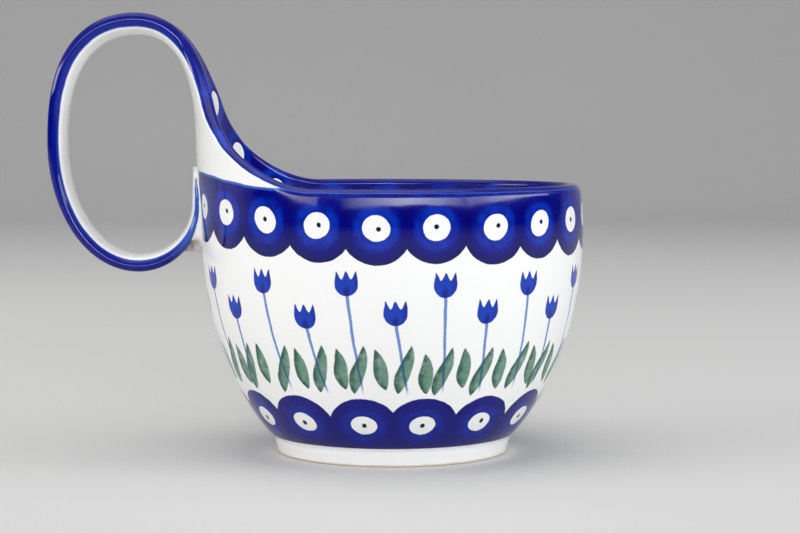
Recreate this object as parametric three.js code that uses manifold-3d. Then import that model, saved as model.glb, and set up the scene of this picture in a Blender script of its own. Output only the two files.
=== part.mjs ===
// A stoneware soup mug. The rim sweeps up on one side into a strap that loops over and comes back
// down to the wall, where its tail is stuck on with slip. Millimetres, +Z up, handle towards -X.

import * as THREE from "three";
import { mergeVertices } from "three/addons/utils/BufferGeometryUtils.js";
import Module from "manifold-3d";

const wasm = await Module();
wasm.setup();

// ---- Bowl ----
const RIM_HEIGHT = 84.4; // top of the lip, away from the handle
const BELLY_RADIUS = 60;
const BELLY_HEIGHT = 72;
const LIP_TUCK = 1.2; // how far the wall comes in from the belly to the lip
const WALL_THICKNESS = 4.2;
const FLOOR_THICKNESS = 5;
const FLOOR_RADIUS = 28; // flat part of the inside
const WALL_RISE = 2.18; // exponents of the wall's rounded outline
const OUTER_BULGE = 1.17;
const INNER_BULGE = 1.8;

// ---- Foot ring ----
const FOOT_HEIGHT = 5;
const FOOT_RADIUS = 37.3;
const FOOT_RING_WIDTH = 6.5;
const FOOT_TAPER = 0.9; // the ring narrows towards the ground on both sides
const FOOT_EDGE = 0.8; // rounding of the ring's lower edges

// ---- Riser, the part of the wall that leads up into the strap ----
const RISER_LEAN = 1.4; // how far the riser stands outside the belly
const LEAN_SHARE = 0.5; // of the sweep's half width, over which the riser leans out fully
const FORK_RISE = 13.6; // from the rim to where the wall's round plan gives way to the strap's
const SWEEP_HALF_WIDTH = 70; // along the wall, from the handle to where the rim starts to rise
const SWEEP_EASE = 26; // how gently the level rim starts to rise
const SWEEP_UPRIGHT = 12; // how gently the rise ends upright
const SWEEP_RISE = 43.6; // from the rim to where the strap has its own width
const RISER_CURL = 0.4; // half of the angle, in radians, that the section turns at the seam
const SEAM_LENGTH = 14; // from the fork up to the seam between riser and strap

// ---- Strap ----
const OPENING_WIDTH = 40.4;
const OPENING_RISE = 46.9; // from the rim up to the top of the hole
const OPENING_DROP = 21.8; // from the rim down to the bottom of the hole
const CREST_OFFSET = 18; // from the riser's face to the loop's highest and lowest points
const STRAP_HALF_WIDTH = 9.8;
const STRAP_OUTER_HALF_WIDTH = 8.8;
const STRAP_THICKNESS = 5.7;
const SEAM_THICKNESS = 4.5;
const RISING_THICKNESS = 5.2; // between the seam and the crest
const RISING_PLACE = 0.62; // of the way from the fork to the crest
const CREST_THICKNESS = 6.2;
const ROUND_CORNER = 0.56; // of a quarter turn's reach, for a round corner of the loop
const FULL_CORNER = 0.65; // the same, for a fuller one
const TAIL_RISE = 16.4; // from the bottom of the hole to where the tail lies along the wall
const TAIL_LENGTH = 11; // lying along the wall
const TAIL_HALF_WIDTH = 7.8;
const TAIL_THICKNESS = 3.1;
const TAIL_TIP_HALF_WIDTH = 5;
const TAIL_TIP_THICKNESS = 1.9;
const TAIL_TIP_FLAT = 0.4; // the tip's end is not worn down to an edge

// How far round the strap's faces are: half of the angle, in radians, that the section turns.
const STRAP_CURL = 0.38; // the face towards the hole
const RISING_CURL = 0.42;
const RISING_FAR_CURL = 0.25;
const CREST_FAR_CURL = 0.1;
const OUTER_FAR_CURL = -0.1; // the far face swells outwards

// ---- Joints ----
const JOINT_GAP = 0.3; // between two pieces that meet
const LIP_ROUNDING = 2.3; // from the sheet's edge to its full thickness
const FILLET_DROP = 10.6; // the slip's middle, below where the tail lies along the wall
const FILLET_REACH = new THREE.Vector3(4.6, 6.6, 5.8);

// ---- Facets ----
const LOW_ROWS = [0, 0.02, 0.06, 0.12, 0.2, 0.3, 0.44, 0.6, 0.8]; // shares of the way to the belly
const HIGH_ROWS = 8; // from the belly to the sheet's edge
const SEAM_COLUMNS = [0, 0.3, 0.6, 0.82, 0.94]; // shares of the seam's half width
const SWEEP_COLUMNS = 12;
const BACK_COLUMNS = 20;
const SWEEP_SAMPLES = 60;
const RING_SEGMENTS = 72;
const EDGE_SEGMENTS = 4;
const STRAP_ROWS = 62;
const STRAP_POINTS = 12; // across one face
const ENVELOPE_ROWS = 24;
const FILLET_SEGMENTS = 28;
const FILLET_RINGS = 18;
const HALVINGS = 30;
const TOUCHING = 1e-4; // points closer than this are one point

const { sin, cos, sqrt, min, max, abs, PI } = Math;
const mix = THREE.MathUtils.lerp;
const smooth = THREE.MathUtils.smoothstep;
const clamp = THREE.MathUtils.clamp;

const FLOOR_HEIGHT = FOOT_HEIGHT + FLOOR_THICKNESS;
const FORK_HEIGHT = RIM_HEIGHT + FORK_RISE;
const OPENING_TOP = RIM_HEIGHT + OPENING_RISE;
const OPENING_BOTTOM = RIM_HEIGHT - OPENING_DROP;
const TAIL_START = OPENING_BOTTOM + TAIL_RISE;
const TAIL_TOP = TAIL_START + TAIL_LENGTH;
const FILLET_HEIGHT = TAIL_START - FILLET_DROP;
const RISER_RADIUS = BELLY_RADIUS + RISER_LEAN;
const OPENING_REACH = RISER_RADIUS + OPENING_WIDTH;
const LOOP_REACH = OPENING_REACH + STRAP_THICKNESS;

// ---- The wall ----

// The radius of a rounded bowl at a height, from its base radius up to its belly.
function bowlRadius(height, baseHeight, baseRadius, bellyRadius, bulge) {
  const rise = clamp((height - baseHeight) / (BELLY_HEIGHT - baseHeight), 0, 1);
  return mix(baseRadius, bellyRadius, (1 - (1 - rise) ** WALL_RISE) ** (1 / bulge));
}

// How far the wall stands outside the belly's radius, in at the lip and out at the riser.
function lean(height, arc) {
  const rise = max(height - BELLY_HEIGHT, 0);
  const tuck = -LIP_TUCK * (rise / (RIM_HEIGHT - BELLY_HEIGHT)) ** 2;
  const out = RISER_LEAN * smooth(rise, 0, FORK_HEIGHT - BELLY_HEIGHT);
  const away = smooth(abs(arc), LEAN_SHARE * SWEEP_HALF_WIDTH, SWEEP_HALF_WIDTH);
  return mix(out, max(tuck, -LIP_TUCK), away);
}

function outerRadius(height, arc) {
  const radius = bowlRadius(height, FOOT_HEIGHT, FOOT_RADIUS, BELLY_RADIUS, OUTER_BULGE);
  return radius + lean(height, arc);
}

function innerRadius(height, arc) {
  const belly = BELLY_RADIUS - WALL_THICKNESS;
  const radius = bowlRadius(height, FLOOR_HEIGHT, FLOOR_RADIUS, belly, INNER_BULGE);
  return radius + lean(height, arc);
}

// The edge of the clay sheet, laid flat: x is the distance along the wall from the handle's middle,
// y is the height. It runs level at the rim and sweeps up into the strap's side.
const sweep = new THREE.CubicBezierCurve(
  new THREE.Vector2(SWEEP_HALF_WIDTH, RIM_HEIGHT),
  new THREE.Vector2(SWEEP_HALF_WIDTH - SWEEP_EASE, RIM_HEIGHT),
  new THREE.Vector2(STRAP_HALF_WIDTH, RIM_HEIGHT + SWEEP_RISE - SWEEP_UPRIGHT),
  new THREE.Vector2(STRAP_HALF_WIDTH, RIM_HEIGHT + SWEEP_RISE),
);
const sweepPoints = sweep.getPoints(SWEEP_SAMPLES);

// The sweep's other coordinate where one coordinate has a given value, by halving.
function alongSweep(known, value, wanted, rising) {
  let low = 0;
  let high = 1;
  for (let step = 0; step < HALVINGS; step++) {
    const middle = (low + high) / 2;
    const here = sweep.getPoint(middle)[known];
    if (rising ? here < value : here > value) low = middle;
    else high = middle;
  }
  return sweep.getPoint(low)[wanted];
}

function rimHeight(arc) {
  return abs(arc) < SWEEP_HALF_WIDTH ? alongSweep("x", abs(arc), "y", false) : RIM_HEIGHT;
}

function sweepHalfWidth(height) {
  return alongSweep("y", height, "x", true);
}

// The sheet's thickness at a distance from its edge, as a share of its full thickness.
function roundedEdge(distance) {
  const inside = 1 - min(max(distance, 0) / LIP_ROUNDING, 1);
  return sqrt(1 - inside * inside);
}

// How far a place on the sheet is from the sheet's edge.
function sweepDistance(arc, height) {
  if (abs(arc) > SWEEP_HALF_WIDTH) return RIM_HEIGHT - height;
  if (abs(rimHeight(arc) - height) < TOUCHING) return 0;
  const here = new THREE.Vector2(abs(arc), height);
  return min(...sweepPoints.map((point) => point.distanceTo(here)));
}

// ---- The strap ----

// The strap's face towards the hole, in the mirror plane: x is outwards from the bowl's axis.
function loopCurve() {
  const left = -OPENING_REACH;
  const crest = -RISER_RADIUS - CREST_OFFSET;
  const middle = (OPENING_TOP + OPENING_BOTTOM) / 2;
  const tail = -outerRadius(TAIL_START, 0) - JOINT_GAP - TAIL_THICKNESS;
  const tip = -outerRadius(TAIL_TOP, 0) - JOINT_GAP - TAIL_TIP_THICKNESS;
  const at = (x, z) => new THREE.Vector2(x, z);
  const quarter = (from, to, upFirst, corner) => {
    const first = upFirst ? at(from.x, mix(from.y, to.y, corner)) : at(mix(from.x, to.x, corner), from.y);
    const second = upFirst ? at(mix(to.x, from.x, corner), to.y) : at(to.x, mix(to.y, from.y, corner));
    return new THREE.CubicBezierCurve(from, first, second, to);
  };
  const top = at(crest, OPENING_TOP);
  const bottom = at(crest, OPENING_BOTTOM);
  const curve = new THREE.CurvePath();
  curve.add(quarter(at(-RISER_RADIUS, FORK_HEIGHT), top, true, FULL_CORNER));
  curve.add(quarter(top, at(left, middle), false, FULL_CORNER));
  curve.add(quarter(at(left, middle), bottom, true, ROUND_CORNER));
  curve.add(quarter(bottom, at(tail, TAIL_START), false, ROUND_CORNER));
  curve.add(new THREE.LineCurve(at(tail, TAIL_START), at(tip, TAIL_TOP)));
  return curve;
}

const loop = loopCurve();
const [CREST_AT, OUTER_AT, BOTTOM_AT, TAIL_AT, TIP_AT] = loop.getCurveLengths();
const WALL_CURL = TAIL_HALF_WIDTH / RISER_RADIUS;

// The strap's section at places along the loop, from the fork to the tip: how far along, the half
// width, the thickness, and the curl of the face towards the hole and of the far face. Up to the
// crest the half width is the sweep's, and at the fork the curl is the round wall's.
const sections = [
  [0, 0, WALL_THICKNESS, 0, 0],
  [SEAM_LENGTH, 0, SEAM_THICKNESS, RISER_CURL, RISER_CURL],
  [RISING_PLACE * CREST_AT, 0, RISING_THICKNESS, RISING_CURL, RISING_FAR_CURL],
  [CREST_AT, STRAP_HALF_WIDTH, CREST_THICKNESS, STRAP_CURL, CREST_FAR_CURL],
  [OUTER_AT, STRAP_OUTER_HALF_WIDTH, STRAP_THICKNESS, STRAP_CURL, OUTER_FAR_CURL],
  [BOTTOM_AT, STRAP_OUTER_HALF_WIDTH, STRAP_THICKNESS, STRAP_CURL, OUTER_FAR_CURL],
  [TAIL_AT, TAIL_HALF_WIDTH, TAIL_THICKNESS, STRAP_CURL, WALL_CURL],
  [TIP_AT, TAIL_TIP_HALF_WIDTH, TAIL_TIP_THICKNESS, STRAP_CURL, WALL_CURL],
].map(([at, width, thickness, holeCurl, farCurl]) => ({ at, width, thickness, holeCurl, farCurl }));

function sectionAt(length) {
  const next = max(1, sections.findIndex((section) => section.at >= length));
  const [from, to] = [sections[next - 1], sections[next]];
  const share = smooth(length, from.at, to.at);
  const rising = min(sweepHalfWidth(FORK_HEIGHT + length), SWEEP_HALF_WIDTH);
  const wallCurl = next === 1 ? rising / RISER_RADIUS : undefined;
  const value = (key, start = from[key]) => mix(start, to[key], share);
  return {
    width: length < CREST_AT ? rising : value("width"),
    thickness: value("thickness"),
    holeCurl: value("holeCurl", wallCurl),
    farCurl: value("farCurl", wallCurl),
  };
}

// A point on a strip bent into a circular arc: how far across and how far the arc rises there.
function bent(halfWidth, curl, across) {
  const radius = halfWidth / curl;
  return [radius * sin(curl * across), radius * (1 - cos(curl * across))];
}

// A point of the strap. across runs from -1 to 1, and side is 1 on the face towards the hole and
// -1 on the far face. extra thickens the strap all round.
function strapPoint(length, across, side, edge, extra = 0) {
  const share = clamp(length / TIP_AT, 0, 1);
  const middle = loop.getPointAt(share);
  const tangent = loop.getTangentAt(share);
  const { width, thickness, holeCurl, farCurl } = sectionAt(length);
  const [holeAcross, holeRise] = bent(width + extra, holeCurl, across);
  const [farAcross, farRise] = bent(width + extra - thickness * farCurl, farCurl, across);
  const half = (1 + side * edge) / 2;
  const depth = mix(thickness + farRise + extra, holeRise - extra, half);
  const sideways = mix(farAcross, holeAcross, half);
  return new THREE.Vector3(middle.x + tangent.y * depth, sideways, middle.y - tangent.x * depth);
}

// ---- Meshes from rows of points ----

// One indexed mesh, without the cells that have shrunk to a line where a row's points meet.
function closedMesh(triangles) {
  const loose = new THREE.BufferGeometry().setFromPoints(triangles.flat());
  const merged = mergeVertices(loose, TOUCHING);
  const corners = Array.from(merged.index.array);
  const kept = [];
  for (let first = 0; first < corners.length; first += 3) {
    const [a, b, c] = corners.slice(first, first + 3);
    if (a !== b && b !== c && c !== a) kept.push(a, b, c);
  }
  merged.setIndex(kept);
  merged.computeVertexNormals();
  return merged;
}

// The two triangles of every cell between neighbouring rows, wrapping from the last point to the
// first where a row is a ring, and from the last row to the first where the rows are.
function skin(rows, { ring = false, around = false } = {}) {
  const triangles = [];
  const rowCount = around ? rows.length : rows.length - 1;
  const pointCount = ring ? rows[0].length : rows[0].length - 1;
  for (let row = 0; row < rowCount; row++) {
    const [here, there] = [rows[row], rows[(row + 1) % rows.length]];
    for (let point = 0; point < pointCount; point++) {
      const next = (point + 1) % here.length;
      triangles.push([here[point], there[point], there[next]]);
      triangles.push([here[point], there[next], here[next]]);
    }
  }
  return triangles;
}

// ---- Pieces ----

// One upright slice of the bowl, from the middle of the base up the outside, over the edge and
// down the inside to the middle of the floor.
function bowlSlice(arc, seamHalfWidth) {
  const top = abs(arc) < seamHalfWidth ? FORK_HEIGHT + SEAM_LENGTH : rimHeight(arc);
  const angle = arc / RISER_RADIUS;
  const place = (height, side) => {
    const edge = roundedEdge(sweepDistance(arc, height));
    if (height > FORK_HEIGHT) {
      const length = height - FORK_HEIGHT;
      return strapPoint(length, arc / sectionAt(length).width, side, edge);
    }
    const [outer, inner] = [outerRadius(height, arc), innerRadius(height, arc)];
    const radius = mix(inner, outer, (1 + side * edge) / 2);
    return new THREE.Vector3(-radius * cos(angle), radius * sin(angle), height);
  };
  const high = Array.from({ length: HIGH_ROWS + 1 }, (_, row) => sin((row / HIGH_ROWS) * (PI / 2)));
  const heights = (base) => [
    ...LOW_ROWS.map((share) => mix(base, BELLY_HEIGHT, share)),
    ...high.map((share) => mix(BELLY_HEIGHT, top, share)),
  ];
  const outside = heights(FOOT_HEIGHT).map((height) => place(height, 1));
  const inside = heights(FLOOR_HEIGHT).map((height) => place(height, -1));
  const base = new THREE.Vector3(0, 0, FOOT_HEIGHT);
  const floor = new THREE.Vector3(0, 0, FLOOR_HEIGHT);
  return [base, ...outside, ...inside.reverse(), floor];
}

function bowlGeometry() {
  const seam = sweepHalfWidth(FORK_HEIGHT + SEAM_LENGTH);
  const half = PI * RISER_RADIUS;
  const seamArcs = SEAM_COLUMNS.map((share) => share * seam);
  const steps = (from, to, count) =>
    Array.from({ length: count }, (_, step) => mix(from, to, step / count));
  const sweepArcs = steps(seam, SWEEP_HALF_WIDTH, SWEEP_COLUMNS);
  const backArcs = steps(SWEEP_HALF_WIDTH, half, BACK_COLUMNS);
  const arcs = [...seamArcs, ...sweepArcs, ...backArcs];
  const mirrored = arcs.slice(1).map((arc) => -arc);
  const around = [...mirrored, half, ...arcs.reverse()];
  return closedMesh(skin(around.map((arc) => bowlSlice(arc, seam)), { around: true }));
}

function footRingGeometry() {
  const top = FOOT_HEIGHT - JOINT_GAP;
  const inner = FOOT_RADIUS - FOOT_RING_WIDTH;
  const profile = new THREE.Path();
  profile.moveTo(inner + FOOT_TAPER + FOOT_EDGE, 0);
  profile.lineTo(FOOT_RADIUS - FOOT_TAPER - FOOT_EDGE, 0);
  profile.quadraticCurveTo(FOOT_RADIUS - FOOT_TAPER, 0, FOOT_RADIUS - FOOT_TAPER, FOOT_EDGE);
  profile.lineTo(FOOT_RADIUS, top);
  profile.lineTo(inner, top);
  profile.lineTo(inner + FOOT_TAPER, FOOT_EDGE);
  profile.quadraticCurveTo(inner + FOOT_TAPER, 0, inner + FOOT_TAPER + FOOT_EDGE, 0);
  const turned = new THREE.LatheGeometry(profile.getPoints(EDGE_SEGMENTS), RING_SEGMENTS);
  turned.rotateX(PI / 2);
  turned.deleteAttribute("normal");
  turned.deleteAttribute("uv");
  const merged = mergeVertices(turned, TOUCHING);
  merged.computeVertexNormals();
  return merged;
}

// The strap as a row of closed rings from the seam to the tip, with a fan over each end.
function strapGeometry(extra = 0) {
  const start = SEAM_LENGTH + JOINT_GAP - extra;
  const turns = Array.from({ length: STRAP_POINTS + 1 }, (_, step) => step / STRAP_POINTS - 1 / 2);
  const across = turns.map((turn) => sin(turn * PI));
  const rings = [];
  for (let row = 0; row <= STRAP_ROWS; row++) {
    const share = row / STRAP_ROWS;
    const length = mix(start, TIP_AT + extra, share);
    const { width } = sectionAt(min(length, TIP_AT));
    const point = (place, side) => {
      const distance = min((1 - abs(place)) * width, TIP_AT - length + TAIL_TIP_FLAT);
      return strapPoint(length, place, side, roundedEdge(distance), extra);
    };
    const hole = across.map((place) => point(place, 1));
    const far = across.slice(1, -1).reverse().map((place) => point(place, -1));
    rings.push([...hole, ...far]);
  }
  const fan = (ring, flip) => {
    const sum = ring.reduce((total, point) => total.add(point), new THREE.Vector3());
    const middle = sum.divideScalar(ring.length);
    const corners = ring.map((point, index) => [point, ring[(index + 1) % ring.length]]);
    return corners.map(([a, b]) => (flip ? [middle, b, a] : [middle, a, b]));
  };
  const caps = [...fan(rings[0], false), ...fan(rings.at(-1), true)];
  return closedMesh([...skin(rings, { ring: true }), ...caps]);
}

// ---- Cutting ----

function toSolid(geometry) {
  const bare = geometry.clone();
  bare.deleteAttribute("normal");
  bare.deleteAttribute("uv");
  const merged = mergeVertices(bare, TOUCHING);
  const mesh = new wasm.Mesh({
    numProp: 3,
    vertProperties: new Float32Array(merged.attributes.position.array),
    triVerts: new Uint32Array(merged.index.array),
  });
  return new wasm.Manifold(mesh);
}

function toGeometry(solid) {
  const mesh = solid.getMesh();
  const geometry = new THREE.BufferGeometry();
  geometry.setAttribute("position", new THREE.BufferAttribute(mesh.vertProperties, 3));
  geometry.setIndex(new THREE.BufferAttribute(mesh.triVerts, 1));
  geometry.computeVertexNormals();
  return geometry;
}

// The bowl's outside as one full solid, standing a gap outside the real wall.
function bowlEnvelope(gap) {
  const shares = Array.from({ length: ENVELOPE_ROWS + 1 }, (_, row) => row / ENVELOPE_ROWS);
  const heights = shares.map((share) => mix(FOOT_HEIGHT, RIM_HEIGHT, share));
  const wall = heights.map((height) => new THREE.Vector2(outerRadius(height, 0) + gap, height));
  const profile = [new THREE.Vector2(0, FOOT_HEIGHT), ...wall, new THREE.Vector2(0, RIM_HEIGHT)];
  return new THREE.LatheGeometry(profile, 2 * RING_SEGMENTS).rotateX(PI / 2);
}

// Slip pressed into the corner under the tail, cut back from the wall and from the strap.
function filletGeometry() {
  const blob = new THREE.SphereGeometry(1, FILLET_SEGMENTS, FILLET_RINGS);
  blob.scale(FILLET_REACH.x, FILLET_REACH.y, FILLET_REACH.z);
  blob.translate(-outerRadius(FILLET_HEIGHT, 0), 0, FILLET_HEIGHT);
  const cut = toSolid(blob)
    .subtract(toSolid(bowlEnvelope(JOINT_GAP)))
    .subtract(toSolid(strapGeometry(JOINT_GAP)));
  return toGeometry(cut);
}

// ---- The mug ----

const glaze = { roughness: 0.12, metalness: 0 };
const white = new THREE.MeshStandardMaterial({ color: 0xf3f0ea, ...glaze });
const bareClay = new THREE.MeshStandardMaterial({ color: 0xece8e0, roughness: 0.35, metalness: 0 });
const cobalt = new THREE.MeshStandardMaterial({ color: 0x0b1a86, ...glaze });
const slip = new THREE.MeshStandardMaterial({ color: 0xeee9df, roughness: 0.2, metalness: 0 });

function piece(name, geometry, material) {
  const mesh = new THREE.Mesh(geometry, material);
  mesh.name = name;
  return mesh;
}

const mug = new THREE.Group();
mug.add(piece("bowl_body", bowlGeometry(), white));
mug.add(piece("foot_ring", footRingGeometry(), bareClay));
mug.add(piece("loop_strap", strapGeometry(), cobalt));
mug.add(piece("tail_slip_fillet", filletGeometry(), slip));

// The middle of the overall length is at the origin, so the bowl's axis is off to one side.
mug.position.x = (LOOP_REACH - BELLY_RADIUS) / 2;

export default mug;
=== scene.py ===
import math
from itertools import product
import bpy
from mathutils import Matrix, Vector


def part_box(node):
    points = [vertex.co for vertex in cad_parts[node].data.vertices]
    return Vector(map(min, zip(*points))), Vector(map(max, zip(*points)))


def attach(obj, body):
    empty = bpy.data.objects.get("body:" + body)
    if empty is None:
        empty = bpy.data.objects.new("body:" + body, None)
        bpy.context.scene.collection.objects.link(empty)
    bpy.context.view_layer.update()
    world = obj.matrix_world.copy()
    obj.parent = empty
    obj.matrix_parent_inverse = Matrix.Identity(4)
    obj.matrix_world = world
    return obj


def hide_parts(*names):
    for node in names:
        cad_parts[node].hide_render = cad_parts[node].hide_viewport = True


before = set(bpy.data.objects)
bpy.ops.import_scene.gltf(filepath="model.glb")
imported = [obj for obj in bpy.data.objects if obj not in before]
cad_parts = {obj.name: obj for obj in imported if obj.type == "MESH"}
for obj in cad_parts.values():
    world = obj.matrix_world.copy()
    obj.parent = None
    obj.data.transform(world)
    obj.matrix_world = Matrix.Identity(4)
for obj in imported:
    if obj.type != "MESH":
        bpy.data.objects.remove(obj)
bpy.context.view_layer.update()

from types import SimpleNamespace

import bpy
import numpy as np
from bpy.props import FloatProperty, FloatVectorProperty, IntProperty, PointerProperty
from mathutils import Vector

bl_info = {
    "name": "Loop-handled Stoneware Mug",
    "version": (1, 0, 0),
    "blender": (4, 5, 0),
    "location": "View3D > Sidebar > Mug",
    "description": "Builds a hand-stamped stoneware soup mug whose rim sweeps up into a loop handle",
    "category": "Add Mesh",
}

MM = 0.001

# ---- What the frame says ----

BOWL_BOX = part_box("bowl_body")
FOOT_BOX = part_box("foot_ring")
STRAP_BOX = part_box("loop_strap")
AXIS_X = (FOOT_BOX[0].x + FOOT_BOX[1].x) / 2  # the bowl's axis stands upright here
BELLY_RADIUS = round((BOWL_BOX[1].y - BOWL_BOX[0].y) / 2, 4)
FOOT_RADIUS = round((FOOT_BOX[1].x - FOOT_BOX[0].x) / 2, 4)
FOOT_HEIGHT = round(BOWL_BOX[0].z, 4)
LOOP_REACH = round(AXIS_X - STRAP_BOX[0].x, 4)

# ---- Shape of the clay, in millimetres ----

BELLY_HEIGHT = 72
LIP_TUCK = 1.2  # how far the wall comes in from the belly to the lip
FLOOR_THICKNESS = 5
FLOOR_RADIUS = 28
WALL_RISE = 2.18  # exponents of the wall's rounded outline
OUTER_BULGE = 1.17
INNER_BULGE = 1.8
FOOT_RING_WIDTH = 6.5
FOOT_TAPER = 0.9
FOOT_EDGE = 0.8
NECK = 0.9  # glaze softens the corner over the foot by this much
FORK_HEIGHT = 98  # the wall's round plan ends here and the strap's section starts
SWEEP_HALF_WIDTH = 70  # along the wall, from the handle to where the rim starts to rise
SWEEP_EASE = 26
SWEEP_RISE = 43.6
SWEEP_UPRIGHT = 12  # the last stretch of the sweep is upright
SEAM_LENGTH = 14
CREST_OFFSET = 18
FULL_CORNER = 0.65  # of a quarter turn's reach, for the loop's fuller corners
ROUND_CORNER = 0.56
TAIL_START = 79
TAIL_TOP = 90
TAIL_SINK = 0.4  # the tail is pressed this far into the wall
TIP_ROUNDING = 4.5
LIP_ROUNDING = 2.3
SEAM_THICKNESS = 4.5
RISING_THICKNESS = 5.2
RISING_PLACE = 0.62  # of the way from the fork to the crest
CREST_THICKNESS = 6.2
TIP_WIDTH = 0.64  # of the tail's own
TIP_THICKNESS = 0.6
SLIP_BOTTOM = 68.2
SLIP_CORNER = 0.5  # exponent of the slip's rounded square outline
SLIP_SPREAD = (1.0, 5.2)  # over the wall, at the tail's sides and below it
SLIP_RISE = (1.25, 6.0)  # up the strap, in the same two places
WOBBLE = 0.22  # how far the hand-worked clay strays from its true outline

# Half the angle, in radians, that a face of the strap turns through.

RISER_CURL = 0.4
RISING_CURL = 0.42
RISING_FAR_CURL = 0.25
STRAP_CURL = 0.38
CREST_FAR_CURL = 0.1
OUTER_FAR_CURL = -0.1  # the far face swells outwards

# ---- Places of the stamps, in millimetres ----

# Each ring of stamps starts some degrees round from the front.

RIM_BAND = {"start": -4.8, "seed": 11, "disc": (10.9, 10.8), "eye": (4.1, 3.85)}
FOOT_BAND = {"start": -12.1, "seed": 409, "disc": (10.4, 8.4), "eye": (3.9, 2.95)}
RIM_BAND_HEIGHT = 76.2
RIM_BAND_TOP = 88.7  # under the riser, where the band climbs
RIM_BAND_GAP = 8.8  # left white on each side of the strap
RIM_BAND_CORNER = 2.4
FOOT_BAND_HEIGHT = 14.0
TULIP_START = -13.2
TULIP_HEIGHT = 56.4
TULIP_STEP = 8.7  # every other tulip is this much shorter
STEM_FOOT = 23.0
STEM_DRIFT = 2.5  # a stem's foot stands this far aside of its head
LEAVES = (  # shift in pitches, slant, height, half length, half width and seed
    (0.0, 1.5, 30.84, 7.4, 2.2, 307),
    (0.5, -1.1, 30.89, 6.3, 2.15, 353),
)
OVAL_PITCH = 21.67  # between the ovals inside the rim
OVAL_SHIFT = 5.83
STRAP_OVAL_PITCH = 17.0
STRAP_BAND_START = 30.0  # along the strap, where the inside's band gives way to its own
GLAZE_IOR = 1.39

# ---- Fineness of the mesh ----

RISER_COLUMNS = 34
SWEEP_COLUMNS = 30
BACK_COLUMNS = 96
WALL_ROWS = 70
SHOULDER_ROWS = 12
LIP_ROWS = 14
LIP_DEPTH = 4
FAR_FROM_EDGE = 90.0  # any place that no edge is near
STRAP_ROWS = 250
EDGE_CROWDING = 2.2  # exponents that draw columns to the strap's edges and rows to the wall's foot
BASE_CROWDING = 1.6
FLOOR_ROWS = 14
TIP_ROWS = 21
SWEEP_POINTS = 260
QUARTER_POINTS = 240
TAIL_POINTS = 40
SLIP_COLUMNS = 144
SLIP_ROWS = 10
SLIP_SAMPLES = 90


def length_property(label, description, default):
    return FloatProperty(name=label, description=description, default=default, min=0, unit="LENGTH")


def turn_property(label, description, degrees):
    turn = math.radians(degrees)
    return FloatProperty(name=label, description=description, default=turn, unit="ROTATION")


def colour_property(label, description, default):
    return FloatVectorProperty(
        name=label, description=description, default=default, size=3, min=0, max=1, subtype="COLOR"
    )


class MugSizes(bpy.types.PropertyGroup):
    """The mug's driving sizes."""

    rim_height: length_property("Rim height", "Top of the lip away from the handle", 0.0844)
    belly_radius: length_property("Belly radius", "Widest part of the bowl", BELLY_RADIUS)
    wall: length_property("Wall thickness", "Thickness of the thrown wall", 0.0042)
    foot_radius: length_property("Foot radius", "Outside of the foot ring", FOOT_RADIUS)
    foot_height: length_property("Foot height", "Height of the foot ring", FOOT_HEIGHT)
    riser_lean: length_property("Riser lean", "How far the riser stands outside the belly", 0.0014)
    loop_reach: length_property("Loop reach", "From the bowl's axis to the loop's far side", LOOP_REACH)
    opening_top: length_property("Opening top", "Top of the hole in the loop", 0.1313)
    opening_bottom: length_property("Opening bottom", "Bottom of the hole in the loop", 0.0626)
    strap_half: length_property("Strap half width", "Half the strap's width at its crest", 0.0098)
    strap_outer_half: length_property("Outer half width", "Half the width on the far side", 0.0088)
    strap_thickness: length_property("Strap thickness", "Thickness on the far side", 0.0057)
    tail_half: length_property("Tail half width", "Half the tail's width", 0.0078)
    tail_thickness: length_property("Tail thickness", "Thickness where the tail lies flat", 0.0031)


class MugPaint(bpy.types.PropertyGroup):
    """The mug's colours and how many times each stamp goes round."""

    white: colour_property("White glaze", "Clear glaze over the pale body", (0.83, 0.825, 0.81))
    cobalt: colour_property("Cobalt", "Where the colour is thick", (0.0003, 0.0008, 0.165))
    deep: colour_property("Deep cobalt", "Where the colour pools", (0.0002, 0.0004, 0.085))
    # Thin brushed cobalt, also used as the colour of the painted sky reflection along the rim band's top
    # edge.
    brushed_and_reflection: colour_property("Brushed cobalt", "Where the colour is thin", (0.002, 0.030, 0.40))
    washed: colour_property("Washed cobalt", "The pale line at a painted edge", (0.06, 0.17, 0.62))
    tulip: colour_property("Tulip blue", "The flower heads", (0.0006, 0.036, 0.38))
    stem: colour_property("Stem blue", "The thin stems", (0.040, 0.175, 0.48))
    leaf: colour_property("Leaf green", "The leaf stamps", (0.125, 0.245, 0.18))
    leaf_dark: colour_property("Dark green", "Where a leaf's colour gathers", (0.006, 0.060, 0.048))
    ink: colour_property("Ink", "The dots in the ovals", (0.004, 0.005, 0.045))
    clay: colour_property("Wiped clay", "Bare clay where the foot was wiped", (0.60, 0.50, 0.385))
    rust: colour_property("Rust", "Iron that came through the slip", (0.42, 0.20, 0.075))
    upper_eyes: IntProperty(name="Upper eyes", description="Ovals round the rim band", default=21)
    tulips: IntProperty(name="Tulips", description="Tall and short tulips together", default=26)
    lower_eyes: IntProperty(name="Lower eyes", description="Ovals round the foot band", default=15)


class MugStage(bpy.types.PropertyGroup):
    """The stand, the camera and the lights."""

    camera_lens: FloatProperty(name="Lens", description="Focal length", default=92.6, unit="CAMERA")
    camera_away: length_property("Camera distance", "In front of the bowl's axis", 0.650)
    camera_height: length_property("Camera height", "Above the floor", 0.1025)
    camera_left: length_property("Camera offset", "Towards the handle", 0.006)
    camera_yaw: turn_property("Yaw", "How far the camera is turned aside", 0.75)
    camera_pitch: turn_property("Pitch", "How far the camera looks down", 3.9)
    floor: colour_property("Floor", "The pale sweep under the mug", (0.66, 0.65, 0.63))


# ---- Outline of the clay ----


def mix(low, high, share):
    return low + (high - low) * share


def smooth(value, low, high):
    share = np.clip((value - low) / (high - low), 0, 1)
    return share * share * (3 - 2 * share)


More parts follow.
